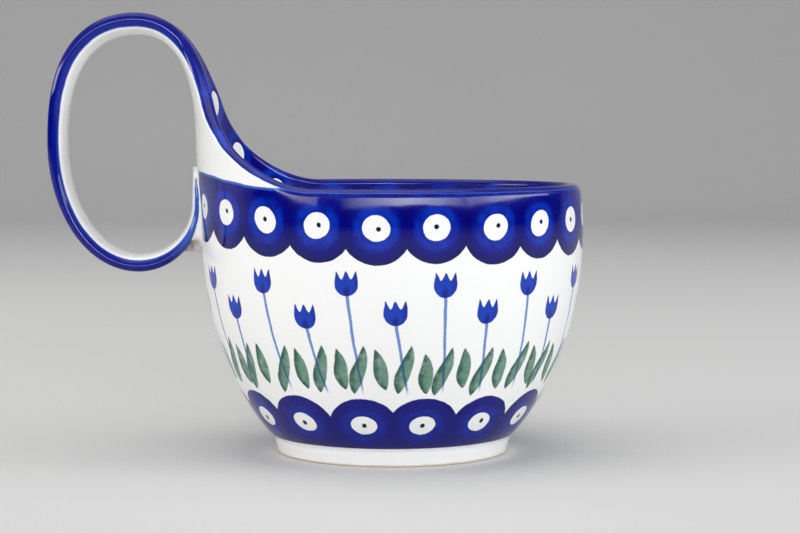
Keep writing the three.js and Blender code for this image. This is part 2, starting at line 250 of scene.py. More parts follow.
def bezier(points, count):
    """Points along a quadratic or cubic curve."""
    share = np.linspace(0, 1, count)[:, None]
    line = [np.asarray(point, float)[None] for point in points]
    while len(line) > 1:
        line = [mix(first, second, share) for first, second in zip(line, line[1:])]
    return line[0]


def rounded_edge(distance):
    """The sheet's thickness at a distance from its edge, as a share of its full thickness."""
    inside = 1 - np.clip(distance / LIP_ROUNDING, 0, 1)
    return np.sqrt(1 - inside * inside)


def distance_to_line(points, line):
    """How far each point is from a line of short straight pieces, and how far along it that is."""
    start = line[:-1]
    step = line[1:] - start
    lengths = np.linalg.norm(step, axis=1)
    run = np.concatenate([[0], np.cumsum(lengths)])
    away = np.empty(len(points))
    along = np.empty(len(points))
    for first in range(0, len(points), 4000):
        part = points[first : first + 4000]
        offset = part[:, None] - start[None]
        share = np.clip((offset * step).sum(2) / (lengths**2), 0, 1)
        gap = np.linalg.norm(offset - share[..., None] * step, axis=2)
        nearest = gap.argmin(1)
        rows = np.arange(len(part))
        away[first : first + 4000] = gap[rows, nearest]
        along[first : first + 4000] = run[nearest] + share[rows, nearest] * lengths[nearest]
    return away, along


def round_axis(radius, angle, height):
    """Points at a distance from the bowl's axis and at an angle round it from the handle."""
    return np.stack(np.broadcast_arrays(-radius * np.cos(angle), radius * np.sin(angle), height), -1)


class Clay:
    """The mug's shape in millimetres: x outwards from the bowl's axis, y sideways, z up."""

    def __init__(self, sizes):
        names = sizes.__annotations__
        self.size = SimpleNamespace(**{name: getattr(sizes, name) / MM for name in names})
        size = self.size
        self.riser = size.belly_radius + size.riser_lean
        self.half_round = math.pi * self.riser
        top = size.rim_height
        sweep = [
            (SWEEP_HALF_WIDTH, top),
            (SWEEP_HALF_WIDTH - SWEEP_EASE, top),
            (size.strap_half, top + SWEEP_RISE - SWEEP_UPRIGHT),
            (size.strap_half, top + SWEEP_RISE),
        ]
        self.sweep = bezier(sweep, SWEEP_POINTS)
        back = np.array([[self.half_round + 5, top]])
        up = np.array([[size.strap_half, top + SWEEP_RISE + 40]])
        self.edge_line = np.concatenate([back, self.sweep, up])
        self.fork = self.sweep_half_width(FORK_HEIGHT)
        self.loop, self.turns = self.loop_line()
        steps = np.linalg.norm(np.diff(self.loop, axis=0), axis=1)
        self.loop_run = np.concatenate([[0], np.cumsum(steps)])
        self.loop_length = self.loop_run[-1]
        self.sections = self.strap_sections()

    def sweep_half_width(self, height):
        return np.interp(height, self.sweep[:, 1], self.sweep[:, 0])

    def rim(self, arc):
        return np.interp(np.abs(arc), self.sweep[::-1, 0], self.sweep[::-1, 1])

    def lean(self, height, arc):
        """How far the wall stands outside the belly's radius."""
        rise = np.maximum(height - BELLY_HEIGHT, 0)
        tuck = -LIP_TUCK * (rise / (self.size.rim_height - BELLY_HEIGHT)) ** 2
        out = self.size.riser_lean * smooth(rise, 0, FORK_HEIGHT - BELLY_HEIGHT)
        share = smooth(np.abs(arc), SWEEP_HALF_WIDTH / 2, SWEEP_HALF_WIDTH)
        return mix(out, np.maximum(tuck, -LIP_TUCK), share)

    def radius(self, height, arc, base_height, base_radius, belly, bulge):
        rise = np.clip((height - base_height) / (BELLY_HEIGHT - base_height), 0, 1)
        bowl = mix(base_radius, belly, (1 - (1 - rise) ** WALL_RISE) ** (1 / bulge))
        return bowl + self.lean(height, arc)

    def outer(self, height, arc):
        base, belly = self.size.foot_height, self.size.belly_radius
        return self.radius(height, arc, base, self.size.foot_radius, belly, OUTER_BULGE)

    def inner(self, height, arc):
        base, belly = self.size.foot_height + FLOOR_THICKNESS, self.size.belly_radius - self.size.wall
        return self.radius(height, arc, base, FLOOR_RADIUS, belly, INNER_BULGE)

    def wall(self, arc, height, out=0.0):
        """A place on the outside of the wall, or standing out from it."""
        return round_axis(self.outer(height, arc) + out, arc / self.riser, height)

    def loop_line(self):
        """The strap's face towards the hole, in the mirror plane."""
        size = self.size
        left = size.strap_thickness - size.loop_reach
        crest = -self.riser - CREST_OFFSET
        middle = (size.opening_top + size.opening_bottom) / 2
        tail = -float(self.outer(TAIL_START, 0)) + TAIL_SINK - size.tail_thickness
        tip = -float(self.outer(TAIL_TOP, 0)) + TAIL_SINK - TIP_THICKNESS * size.tail_thickness

        def quarter(start, end, up_first, reach):
            (x0, z0), (x1, z1) = start, end
            if up_first:
                corners = [start, (x0, mix(z0, z1, reach)), (mix(x1, x0, reach), z1), end]
            else:
                corners = [start, (mix(x0, x1, reach), z0), (x1, mix(z1, z0, reach)), end]
            return bezier(corners, QUARTER_POINTS)

        top, bottom = (crest, size.opening_top), (crest, size.opening_bottom)
        parts = [
            quarter((-self.riser, FORK_HEIGHT), top, True, FULL_CORNER),
            quarter(top, (left, middle), False, FULL_CORNER),
            quarter((left, middle), bottom, True, ROUND_CORNER),
            quarter(bottom, (tail, TAIL_START), False, ROUND_CORNER),
            bezier([(tail, TAIL_START), (tip, TAIL_TOP)], TAIL_POINTS),
        ]
        line = np.concatenate([parts[0], *[part[1:] for part in parts[1:]]])
        turns = np.cumsum([np.linalg.norm(np.diff(p, axis=0), axis=1).sum() for p in parts])
        return line, turns

    def strap_sections(self):
        """Width, thickness and the two faces' curl at places along the loop."""
        size = self.size
        crest, outer, bottom, tail, end = self.turns
        rising = RISING_PLACE * crest
        wall = size.tail_half / self.riser
        tip_half, tip_thickness = TIP_WIDTH * size.tail_half, TIP_THICKNESS * size.tail_thickness
        far_side = (size.strap_outer_half, size.strap_thickness, STRAP_CURL, OUTER_FAR_CURL)
        return np.array([
            (0, self.fork, size.wall, 0, 0),
            (SEAM_LENGTH, self.fork, SEAM_THICKNESS, RISER_CURL, RISER_CURL),
            (rising, self.fork, RISING_THICKNESS, RISING_CURL, RISING_FAR_CURL),
            (crest, size.strap_half, CREST_THICKNESS, STRAP_CURL, CREST_FAR_CURL),
            (outer, *far_side),
            (bottom, *far_side),
            (tail, size.tail_half, size.tail_thickness, STRAP_CURL, wall),
            (end, tip_half, tip_thickness, STRAP_CURL, wall),
        ])

    def section(self, length):
        places = self.sections[:, 0]
        after = np.clip(np.searchsorted(places, length), 1, len(places) - 1)
        low, high = self.sections[after - 1], self.sections[after]
        share = smooth(length, low[:, 0], high[:, 0])[:, None]
        rising_width = self.sweep_half_width(FORK_HEIGHT + length)
        at_fork = after == 1  # here both faces start from the wall's own curl
        low[at_fork, 3:] = (rising_width[at_fork] / self.riser)[:, None]
        width, thickness, hole_curl, far_curl = mix(low, high, share)[:, 1:].T
        width = np.where(length < self.turns[0], rising_width, width)
        into_tip = np.clip((length - self.loop_length) / TIP_ROUNDING + 1, 0, 1)
        width = width * np.sqrt(np.maximum(1 - into_tip**2, 1e-9))
        return width, thickness, hole_curl, far_curl

    def unrolled(self, length, sideways):
        """Places on the riser laid flat: how far from its middle, and how high."""
        height = (FORK_HEIGHT + length)[:, None]
        return np.stack(np.broadcast_arrays(np.abs(sideways), height), -1)

    def strap(self, length, across, side):
        """Points of the strap, with each one's distance from the edge."""
        width, thickness, hole_curl, far_curl = (v[:, None] for v in self.section(length))
        slope = np.gradient(self.loop, self.loop_run, axis=0)
        middle, tangent = (
            np.stack([np.interp(length, self.loop_run, line[:, i]) for i in (0, 1)])[..., None]
            for line in (self.loop, slope)
        )
        tangent = tangent / np.linalg.norm(tangent, axis=0)
        away = (1 - np.abs(across))[None] * width
        rising = FORK_HEIGHT + length < self.size.rim_height + SWEEP_RISE
        places = self.unrolled(length, across * width)[rising]
        near = distance_to_line(places.reshape(-1, 2), self.sweep)[0]
        away[rising] = near.reshape(-1, len(across))
        away[:, [0, -1]] = 0
        edge = rounded_edge(away)

        def bent(half_width, curl):
            curl = np.where(np.abs(curl) < 1e-3, 1e-3, curl)
            turn = half_width / curl
            return turn * np.sin(curl * across), turn * (1 - np.cos(curl * across))

        hole_across, hole_rise = bent(width, hole_curl)
        far_across, far_rise = bent(np.maximum(width - thickness * far_curl, 0.01), far_curl)
        half = (1 + side * edge) / 2
        depth = mix(thickness + far_rise, hole_rise, half)
        sideways = mix(far_across, hole_across, half)
        points = np.stack(
            [middle[0] + tangent[1] * depth, sideways, middle[1] - tangent[0] * depth], -1
        )
        return points, away, side * edge

    def stray(self, points):
        """Moves points by the slow unevenness of hand-worked clay."""
        x, y, z = (points / 40).T
        out = np.array([
            np.sin(1.3 * z + 0.9 * y + 0.4) + 0.6 * np.sin(0.7 * x + 2.1 * y),
            np.sin(1.1 * x - 0.8 * z + 1.7) + 0.5 * np.sin(1.9 * z + 0.8),
            0.5 * np.sin(1.2 * x + 1.4 * y + 0.3),
        ]).T
        return points + WOBBLE * out * smooth(points[:, 2], 0, 30)[:, None]


# ---- Meshes ----


class Skin:
    """Rows of points with their attributes, joined up into triangles."""

    ATTRIBUTES = ("face", "edge", "run", "along", "sideways")

    def __init__(self):
        self.points, self.values, self.triangles, self.parts = [], [], [], []
        self.count = 0

    def add(self, points, part, ring=False, flip=False, **values):
        """A grid of points: rows by columns."""
        rows, columns = points.shape[:2]
        index = self.count + np.arange(rows * columns).reshape(rows, columns)
        self.count += rows * columns
        if ring:
            index = np.concatenate([index, index[:, :1]], 1)
        a, b = index[:-1, :-1], index[:-1, 1:]
        c, d = index[1:, 1:], index[1:, :-1]
        corners = [(a, b, c), (a, c, d)]
        if flip:
            corners = [(a, c, b), (a, d, c)]
        made = np.concatenate([np.stack(corner, -1).reshape(-1, 3) for corner in corners])
        self.triangles.append(made)
        self.parts.append(np.full(len(made), part))
        self.points.append(points.reshape(-1, 3))
        shape = (rows, columns)
        grids = [np.broadcast_to(values.get(name, 0.0), shape) for name in self.ATTRIBUTES]
        self.values.append(np.stack(grids, -1).reshape(-1, len(self.ATTRIBUTES)))

    def merged(self):
        """Points that fall together become one, and triangles that shrink to a line go."""
        points = np.concatenate(self.points)
        values = np.concatenate(self.values)
        keys = np.round(points * 1e4 + 0.137).astype(np.int64)
        first, index = np.unique(keys, axis=0, return_index=True, return_inverse=True)[1:]
        triangles = index.reshape(-1)[np.concatenate(self.triangles)]
        a, b, c = triangles.T
        kept = (a != b) & (b != c) & (c != a)
        return points[first], values[first], triangles[kept], np.concatenate(self.parts)[kept]


def new_mesh(name, points, triangles):
    mesh = bpy.data.meshes.new(name)
    mesh.from_pydata(((points + [AXIS_X / MM, 0, 0]) * MM).tolist(), [], triangles.tolist())
    mesh.shade_smooth()
    mesh.update()
    return mesh


def place_piece(name, mesh, material, nodes):
    """Adds a finished piece that stands for one or more of the frame's nodes."""
    piece = bpy.data.objects.new(name, mesh)
    bpy.context.scene.collection.objects.link(piece)
    mesh.materials.append(material)
    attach(piece, "root")
    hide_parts(*nodes)


def clay_skin(clay):
    """The whole mug as one closed skin, in three parts: 0 bowl, 1 foot and 2 strap."""
    size = clay.size
    skin = Skin()
    across = 1 - (1 - np.linspace(0, 1, RISER_COLUMNS + 1)) ** EDGE_CROWDING
    riser = across * clay.fork
    sweep = np.linspace(clay.fork, SWEEP_HALF_WIDTH, SWEEP_COLUMNS + 1)[1:]
    back = np.linspace(SWEEP_HALF_WIDTH, clay.half_round, BACK_COLUMNS + 1)[1:]
    arcs = np.concatenate([riser, sweep, back])
    arcs = np.concatenate([-arcs[1:-1][::-1], arcs])
    angle = arcs / clay.riser
    top = np.minimum(clay.rim(arcs), FORK_HEIGHT)

    def heights(base):
        rise = np.linspace(0, 1, WALL_ROWS + 1) ** BASE_CROWDING
        low = mix(base, BELLY_HEIGHT, rise)[:, None]
        shoulder = np.linspace(0, 1, SHOULDER_ROWS + 1)[1:, None]
        lip = (1 - np.linspace(0, 1, LIP_ROWS + 1)[1:, None]) ** 2
        return np.concatenate([
            np.repeat(low, len(arcs), 1),
            mix(BELLY_HEIGHT, top - LIP_DEPTH, shoulder),
            top - LIP_DEPTH * lip,
        ])

    def wall_side(base, side):
        height = heights(base)
        arc = np.broadcast_to(arcs, height.shape)
        places = np.stack([np.abs(arc), height], -1).reshape(-1, 2)
        away, run = (v.reshape(height.shape) for v in distance_to_line(places, clay.edge_line))
        at_rim = (height == top) & (np.abs(arcs) >= clay.fork - 1e-9)
        away = np.where(at_rim, 0, away)
        edge = rounded_edge(away)
        radius = mix(clay.inner(height, arc), clay.outer(height, arc), (1 + side * edge) / 2)
        values = {"face": side * edge, "edge": away, "run": run, "sideways": arc}
        skin.add(round_axis(radius, angle, height), 0, ring=True, flip=side > 0, **values)

    def turned(profile, part, **values):
        """A ring for each point of a profile. Its direction decides which way the faces look."""
        points = round_axis(profile[:, :1], angle, profile[:, 1:])
        skin.add(points, part, ring=True, **values)

    foot, top_of_foot = size.foot_radius, size.foot_height
    floor = top_of_foot + FLOOR_THICKNESS
    wall_side(top_of_foot + NECK, 1)
    wall_side(floor, -1)
    turned(np.linspace([0, floor], [FLOOR_RADIUS, floor], FLOOR_ROWS), 0, face=-1.0, edge=FAR_FROM_EDGE)

    neck_radius = float(clay.outer(top_of_foot + NECK, clay.half_round))
    inner = foot - FOOT_RING_WIDTH
    low, inner_low = foot - FOOT_TAPER, inner + FOOT_TAPER
    corners = (  # each stretch starts where the one before it ends
        (9, (neck_radius, top_of_foot + NECK), (foot + 0.1, top_of_foot), (foot, top_of_foot - NECK)),
        (5, (foot, top_of_foot - NECK), (low, FOOT_EDGE)),
        (7, (low, FOOT_EDGE), (low, 0), (low - FOOT_EDGE, 0)),
        (6, (low - FOOT_EDGE, 0), (inner_low + FOOT_EDGE, 0)),
        (7, (inner_low + FOOT_EDGE, 0), (inner_low, 0), (inner_low, FOOT_EDGE)),
        (5, (inner_low, FOOT_EDGE), (inner, top_of_foot - NECK)),
        (7, (inner, top_of_foot - NECK), (inner, top_of_foot), (inner - NECK, top_of_foot)),
    )
    stretches = [bezier(places, count) for count, *places in corners]
    ring = np.concatenate([stretches[0], *[stretch[1:] for stretch in stretches[1:]]])
    turned(ring, 1, face=1.0, edge=FAR_FROM_EDGE)
    base = np.linspace([inner - NECK, top_of_foot], [0, top_of_foot], FLOOR_ROWS)
    turned(base, 0, face=1.0, edge=FAR_FROM_EDGE)

    reach = np.concatenate([-across[:0:-1], across])
    end = clay.loop_length
    rows = np.linspace(0, end - TIP_ROUNDING, STRAP_ROWS + 1)
    tip = end - TIP_ROUNDING * (1 - np.sin(np.linspace(0, math.pi / 2, TIP_ROWS + 1)[1:]))
    length = np.concatenate([rows, tip])
    sideways = reach * clay.section(length)[0][:, None]
    run = distance_to_line(clay.unrolled(length, sideways).reshape(-1, 2), clay.edge_line)[1]
    run = run.reshape(sideways.shape)
    seam = np.searchsorted(length, SEAM_LENGTH)
    for side in (1, -1):
        points, away, face = clay.strap(length, reach, side)
        if side == 1:
            tip_place = points[-1, len(reach) // 2].copy()
        points[-1] = tip_place
        for span, owner in ((slice(seam + 1), 0), (slice(seam, None), 2)):
            values = {"face": face[span], "edge": away[span], "run": run[span]}
            values |= {"along": length[span, None], "sideways": sideways[span]}
            skin.add(points[span], owner, flip=side > 0, **values)
    return skin.merged()


def slip_skin(clay):
    """The slip pressed into the corner all round the tail: a hollow fillet, wide under the tail."""
    size = clay.size
    turn = np.linspace(0, math.tau, SLIP_COLUMNS + 1)[:-1]
    top = TAIL_TOP - 0.4
    up = np.sign(np.sin(turn)) * np.abs(np.sin(turn)) ** SLIP_CORNER
    height = (SLIP_BOTTOM + top) / 2 + (top - SLIP_BOTTOM) / 2 * up
    half = size.tail_half * np.interp(height, [TAIL_START, TAIL_TOP], [1, TIP_WIDTH]) - 0.2
    sideways = np.sign(np.cos(turn)) * np.abs(np.cos(turn)) ** SLIP_CORNER * half
    outline = np.stack([sideways, height], -1)
    along = np.roll(outline, -1, 0) - np.roll(outline, 1, 0)
    along /= np.linalg.norm(along, axis=1)[:, None]
    out = np.stack([along[:, 1], -along[:, 0]], -1)
    below = smooth(-up, 0.25, 0.98)
    uneven = 1 + 0.16 * np.sin(3 * turn + 0.6) + 0.08 * np.sin(7 * turn)
    spread = mix(*SLIP_SPREAD, below) * uneven
    rise = mix(*SLIP_RISE, below)
    lengths = np.linspace(clay.turns[2], clay.turns[3], SLIP_SAMPLES)
    far = clay.strap(lengths, np.array([-1.0, 0, 1.0]), -1)[0][:, 1]
    gap = -far[:, 0] - clay.outer(far[:, 2], 0)
    order = np.argsort(gap)
    strap_height = np.interp(rise, gap[order], far[order, 2])
    foot = outline + out * spread[:, None]
    top_place = outline - out * 0.5
    top_place[:, 1] = mix(top_place[:, 1], strap_height + 0.5, below)
    foot_point = clay.wall(foot[:, 0], foot[:, 1], -0.12)
    corner = clay.wall(outline[:, 0], outline[:, 1], 0.15)
    top_point = clay.wall(top_place[:, 0], top_place[:, 1], rise)
    buried = clay.wall(top_place[:, 0], top_place[:, 1], -1.2)
    share = np.linspace(0, 1, SLIP_ROWS + 1)[:, None, None]
    hollow = mix(mix(foot_point, corner, share), mix(corner, top_point, share), share)
    skin = Skin()
    skin.add(np.concatenate([hollow, [buried, foot_point]]), 0, ring=True, flip=True)
    return skin.merged()


# ---- Shader nodes as arithmetic ----


class Value:
    """A shader socket that takes part in arithmetic."""

    def __init__(self, paint, socket):
        self.paint = paint
        self.socket = socket

    def __add__(self, other):
        return self.paint.math("ADD", self, other)

    def __sub__(self, other):
        return self.paint.math("SUBTRACT", self, other)

    def __rsub__(self, other):
        return self.paint.math("SUBTRACT", other, self)

    def __mul__(self, other):
        return self.paint.math("MULTIPLY", self, other)

    def __truediv__(self, other):
        return self.paint.math("DIVIDE", self, other)

    def __pow__(self, other):
        return self.paint.math("POWER", self, other)

    def __neg__(self):
        return self.paint.math("MULTIPLY", self, -1.0)

    def __abs__(self):
        return self.paint.math("ABSOLUTE", self)

    __radd__ = __add__
    __rmul__ = __mul__


class Nodes:
    """Builds the nodes of one tree."""

    def __init__(self, tree):
        self.tree = tree
        tree.nodes.clear()

    def node(self, kind, settings=None, inputs=None, outputs=0):
        """Adds a node, with its settings first and then the values or links of its sockets."""
        made = self.tree.nodes.new(kind)
        for name, value in (settings or {}).items():
            setattr(made, name, value)
        for name, value in (inputs or {}).items():
            if isinstance(value, Value):
                self.tree.links.new(value.socket, made.inputs[name])
            else:
                made.inputs[name].default_value = value
        if isinstance(outputs, tuple):
            return [Value(self, made.outputs[name]) for name in outputs]
        return Value(self, made.outputs[outputs])

    def math(self, operation, *values):
        return self.node("ShaderNodeMath", {"operation": operation}, dict(enumerate(values)))

    def least(self, *values):
        found = values[0]
        for value in values[1:]:
            found = self.math("MINIMUM", found, value)
        return found

    def most(self, *values):
        found = values[0]
        for value in values[1:]:
            found = self.math("MAXIMUM", found, value)
        return found

    def length(self, across, up):
        return self.math("SQRT", across * across + up * up)

    def ramp(self, value, low, high, start=0.0, end=1.0):
        """Goes smoothly from start to end as value goes from low to high."""
        sockets = {"Value": value, "From Min": low, "From Max": high, "To Min": start, "To Max": end}
        return self.node("ShaderNodeMapRange", {"interpolation_type": "SMOOTHSTEP"}, sockets)

    def inside(self, value, limit, soft=0.12):
        """1 where value is under the limit."""
        if isinstance(limit, Value):
            return self.ramp(value - limit, soft, -soft)
        return self.ramp(value, limit + soft, limit - soft)

    def attribute(self, name):
        return self.node("ShaderNodeAttribute", {"attribute_name": name}, None, "Fac")

    def place(self):
        return self.node("ShaderNodeTexCoord", None, None, "Object")

    def split(self, vector):
        return self.node("ShaderNodeSeparateXYZ", None, {0: vector}, ("X", "Y", "Z"))

    def noise(self, scale, detail=2.0, roughness=0.5):
        """Cloudy noise from 0 to 1, with scale in lumps per metre."""
        sockets = {"Vector": self.place(), "Scale": scale, "Detail": detail, "Roughness": roughness}
        return self.node("ShaderNodeTexNoise", None, sockets, "Fac")

    def drift(self, scale, reach):
        """Three numbers that stray up to about reach either way."""
        sockets = {"Vector": self.place(), "Scale": scale, "Detail": 2.0}
        colour = self.node("ShaderNodeTexNoise", None, sockets, "Color")
        return [(part - 0.5) * (3 * reach) for part in self.split(colour)]

    def chance(self, key, seed):
        """A number from -0.5 to 0.5 that stays the same for one stamp."""
        settings = {"noise_dimensions": "1D"}
        return self.node("ShaderNodeTexWhiteNoise", settings, {"W": key + seed}, "Value") - 0.5


class Paint(Nodes):
    """Builds one glaze from the mug's colours."""

    def __init__(self, name, colours):
        self.colours = colours
        self.material = bpy.data.materials.new(name)
        self.material.use_nodes = True
        super().__init__(self.material.node_tree)

    def blend(self, first, second, share):
        """One colour over another. A string names one of the colours."""
        sockets = {0: share, 6: first, 7: second}
        for key, value in sockets.items():
            if isinstance(value, str):
                sockets[key] = (*getattr(self.colours, value), 1.0)
        return self.node("ShaderNodeMix", {"data_type": "RGBA"}, sockets, 2)

    def glaze(self, painted, roughness, height):
        """Fills in the shader. Height is the surface's relief in millimetres."""
        bump = self.node("ShaderNodeBump", None, {"Strength": 1.0, "Distance": MM, "Height": height})
        sockets = {"Base Color": painted, "Roughness": roughness, "IOR": GLAZE_IOR, "Normal": bump}
        shader = self.node("ShaderNodeBsdfPrincipled", None, sockets)
        self.node("ShaderNodeOutputMaterial", None, {"Surface": shader}, ())
        return self.material


# ---- The painted decoration ----


class Wall:
    """Where a point stands on the round wall: its azimuth, height and distance from the axis."""

    def __init__(self, paint):
        x, y, z = paint.split(paint.place())
        x = (x - AXIS_X) * 1000
        y = y * 1000
        self.azimuth = paint.math("ARCTAN2", x, -y)
        self.radius = paint.length(x, y)
        coarse = paint.drift(190, 0.22)
        fine = paint.drift(1500, 0.07)
        self.stray_across = coarse[0] + fine[0]
        self.stray_up = coarse[1] + fine[1]
        self.height = z * 1000


def stamps(paint, wall, count, start, seed):
    """The nearest stamps of a ring: each one's key and how far round from it the point is."""
    turn = (wall.azimuth - math.radians(start)) * (count / math.tau)
    nearest = paint.math("ROUND", turn)
    offset = turn - nearest
    side = paint.math("SIGN", offset)
    pitch = math.tau / count
    found = []
    for index in (nearest, nearest + side):
        key = paint.math("FLOORED_MODULO", index, count)
        away = (turn - index - paint.chance(key, seed) * 0.07) * pitch * wall.radius
        found.append((key, away + wall.stray_across))
    return found


def eye_ring(paint, wall, count, centre, start, seed, disc, eye):
    """Overlapping discs, each with a white oval and a dot: masks, and how high in its disc a point is."""
    places = []
    for key, across in stamps(paint, wall, count, start, seed):
        up = wall.height - centre - paint.chance(key, seed + 31) * 0.6 + wall.stray_up
        grow = 1 + paint.chance(key, seed + 57) * 0.07
        places.append((paint.length(across / (grow * disc[0]), up / (grow * disc[1])), across, up, key))
    shares = [place[0] for place in places]
    _, across, up, key = places[0]
    closest = paint.least(*shares)
    discs = paint.inside(closest, 1.0, 0.012)
    both = paint.inside(paint.most(*shares), 1.0, 0.05)
    light = paint.ramp(closest, 0.30, 0.42) * paint.ramp(closest, 0.74, 0.50)
    light = light * (1 - both * 0.9) - paint.ramp(closest, 0.72, 0.92) * paint.inside(up, 5.0, 3.0)
    tilt = paint.chance(key, seed + 83) * 0.22
    oval = paint.length((across + up * tilt) / eye[0], up / eye[1])
    ovals = paint.inside(oval, 1.0, 0.03)
    dot_across = across + paint.chance(key, seed + 101) * 1.1 - 0.3
    dot_up = up + paint.chance(key, seed + 131) * 1.0
    dots = paint.inside(paint.length(dot_across, dot_up), 0.72, 0.14)
    return discs, light, ovals, dots, up


def tulip_heads(paint, across, up):
    """A cup with three points: its mask and a dark spot at its base."""
    wide = abs(across)
    cup = paint.length(across / 3.5, paint.least(up, 0.0) / 3.7)
    sides = paint.inside(cup + paint.most(up - 0.8, 0.0) * 0.04, 1.0, 0.04)
    top = 1.35 + paint.ramp(abs(wide - 1.5), 0.0, 1.6, 0.0, 2.35)
    heads = sides * paint.inside(up - top, 0.0, 0.14)
    spot = paint.inside(paint.length(across / 0.9, (up + 2.4) / 1.6), 1.0, 0.5)
    return heads, spot


def leaf(paint, across, up, half_length, half_width, slant):
    """A leaf stamp: its mask and how near the point is to its left edge."""
    share = up / half_length
    middle = share * slant + paint.math("SINE", share * 2.6) * 0.45
    offset = across - middle
    belly = (1 - share * share) * (1 - share * 0.28)
    half = paint.math("POWER", paint.most(belly, 0.0), 0.8) * half_width
    mask = paint.inside(abs(offset) - half, 0.0, 0.2) * paint.inside(abs(share), 1.0, 0.02)
    left = paint.ramp(offset + half, 2.3, 0.3)
    return mask, left


def meadow(paint, wall):
    """Tulips on thin stems over a row of leaves, painted on the white glaze."""
    count = paint.colours.tulips
    pitch = math.tau / count
    painted = "white"
    washes = paint.noise(420, 4, 0.65)
    streaks = paint.noise(1400, 3, 0.6)
    plants = stamps(paint, wall, count, TULIP_START, 211)

    def drift_of(key):
        return STEM_DRIFT + paint.chance(key, 227) * 3.2

    def top_of(key):
        short = paint.math("FLOORED_MODULO", key, 2.0)
        return TULIP_HEIGHT - short * TULIP_STEP + paint.chance(key, 241) * 1.6

    # Leaves: one where each stem comes down and one in the gap beside it.
    level = wall.height + wall.stray_up
    leaves = 0.0
    for (shift, slant, height, half_length, half_width, seed), (key, across) in product(LEAVES, plants):
        down = drift_of(key) * 0.72
        lean = slant * (1 + paint.chance(key, seed) * 0.9)
        place = across - down - shift * pitch * wall.radius
        centre = height + paint.chance(key, seed + 5) * 1.6
        mask, left = leaf(paint, place, level - centre, half_length, half_width, lean)
        dark = left * paint.ramp(streaks, 0.22, 0.5) + paint.ramp(washes, 0.5, 0.68) * 0.4
        dark = paint.least(dark, 1.0) * 0.85
        green = paint.blend("leaf", "leaf_dark", dark)
        painted = paint.blend(painted, green, mask * paint.ramp(washes, 0.25, 0.5, 0.8, 1.0))
        leaves = paint.most(leaves, mask)

    # Stems, then the heads over them.
    for key, across in plants:
        top = top_of(key)
        fall = paint.most((top - wall.height) / (top - STEM_FOOT), 0.0)
        bend = across - drift_of(key) * fall**1.25
        width = 0.52 - fall * 0.18
        mask = paint.inside(abs(bend) - width, 0.0, 0.16) * paint.inside(wall.height, top - 2.6, 0.3)
        mask = mask * paint.ramp(fall, 1.0, 0.86)
        rim = paint.ramp(abs(bend), 0.12, 0.5)
        blue = paint.blend("stem", "brushed_and_reflection", rim * 0.5)
        blue = paint.blend(blue, "leaf_dark", leaves * 0.7)
        painted = paint.blend(painted, blue, mask * 0.9)
    key, across = plants[0]
    heads, spot = tulip_heads(paint, across, wall.height - top_of(key) + wall.stray_up)
    streak = paint.ramp(streaks, 0.4, 0.65) * 0.6
    blue = paint.blend("tulip", "brushed_and_reflection", streak)
    pooled = paint.most(spot * 0.75, paint.ramp(across, 1.2, 3.6) * 0.55)
    blue = paint.blend(blue, "cobalt", pooled)
    return paint.blend(painted, blue, heads)


def cobalt_wash(paint, light):
    """Cobalt, paler where light is over 0 and pooled where it is under. Along the rim band's top edge the
    paler patches are a painted sky reflection.
    """
    cloud = paint.noise(260, 4, 0.6)
    brush = paint.noise(900, 3, 0.6)
    thin = light * paint.ramp(cloud, 0.3, 0.65, 0.3, 0.85) + paint.ramp(brush, 0.5, 0.8) * 0.16
    blue = paint.blend("cobalt", "deep", paint.most(-light, 0.0) * 0.8)
    return paint.blend(blue, "brushed_and_reflection", paint.most(paint.least(thin, 1.0), 0.0))


def eyes_over(paint, painted, blue, band, ovals, dots):
    """Lays a blue band with its white ovals and their dots over what is painted so far."""
    painted = paint.blend(painted, blue, band)
    painted = paint.blend(painted, "white", ovals * band)
    return paint.blend(painted, "ink", dots)


def outside_paint(paint):
    """The outside of the bowl: the rim band, the meadow and the foot band."""
    wall = Wall(paint)
    painted = meadow(paint, wall)
    arc = abs(wall.azimuth + math.pi / 2)
    arc = paint.least(arc, math.tau - arc)

    dip = paint.math("COSINE", wall.azimuth - 0.1) * 3.1
    climb = paint.ramp(arc, 1.3, 0.5) * 2.4
    centre = RIM_BAND_HEIGHT - dip + climb
    discs, light, ovals, dots, up = eye_ring(paint, wall, paint.colours.upper_eyes, centre, **RIM_BAND)
    above = paint.inside(-up, 0.0, 0.2)
    band_top = RIM_BAND_TOP - paint.ramp(arc, 0.21, 0.98) * 4.2 + wall.stray_up
    room_up = band_top - wall.height
    room_across = arc * wall.radius - RIM_BAND_GAP
    short_up, short_across = (paint.most(RIM_BAND_CORNER - room, 0.0) for room in (room_up, room_across))
    from_edge = RIM_BAND_CORNER - paint.length(short_up, short_across)
    band = paint.most(discs, above) * paint.inside(-from_edge, 0.0, 0.1)
    light = light * paint.inside(-room_up, -0.5) * paint.ramp(up, 9.0, 5.0)
    # Painted sky reflection: paler cobalt patches along the top 5 mm of the rim band, just under the
    # rim's edge.
    rim_sky_reflection = paint.ramp(paint.attribute("edge"), 5.0, 0.5)
    rim_sky_reflection = rim_sky_reflection * paint.ramp(paint.noise(320, 3, 0.6), 0.38, 0.6)
    blue = cobalt_wash(paint, light + rim_sky_reflection * 0.6)
    blue = paint.blend(blue, "washed", paint.ramp(from_edge, 1.1, 0.2) * 0.75)
    painted = eyes_over(paint, painted, blue, band, ovals, dots)

    count = paint.colours.lower_eyes
    discs, light, ovals, dots, up = eye_ring(paint, wall, count, FOOT_BAND_HEIGHT, **FOOT_BAND)
    below = paint.inside(up, 0.0, 0.2)
    foot_line = paint.ramp(wall.height + wall.stray_up * 0.5, 5.55, 5.95)
    band = paint.most(discs, below) * foot_line
    blue = cobalt_wash(paint, light * 0.5)
    return eyes_over(paint, painted, blue, band, ovals, dots)


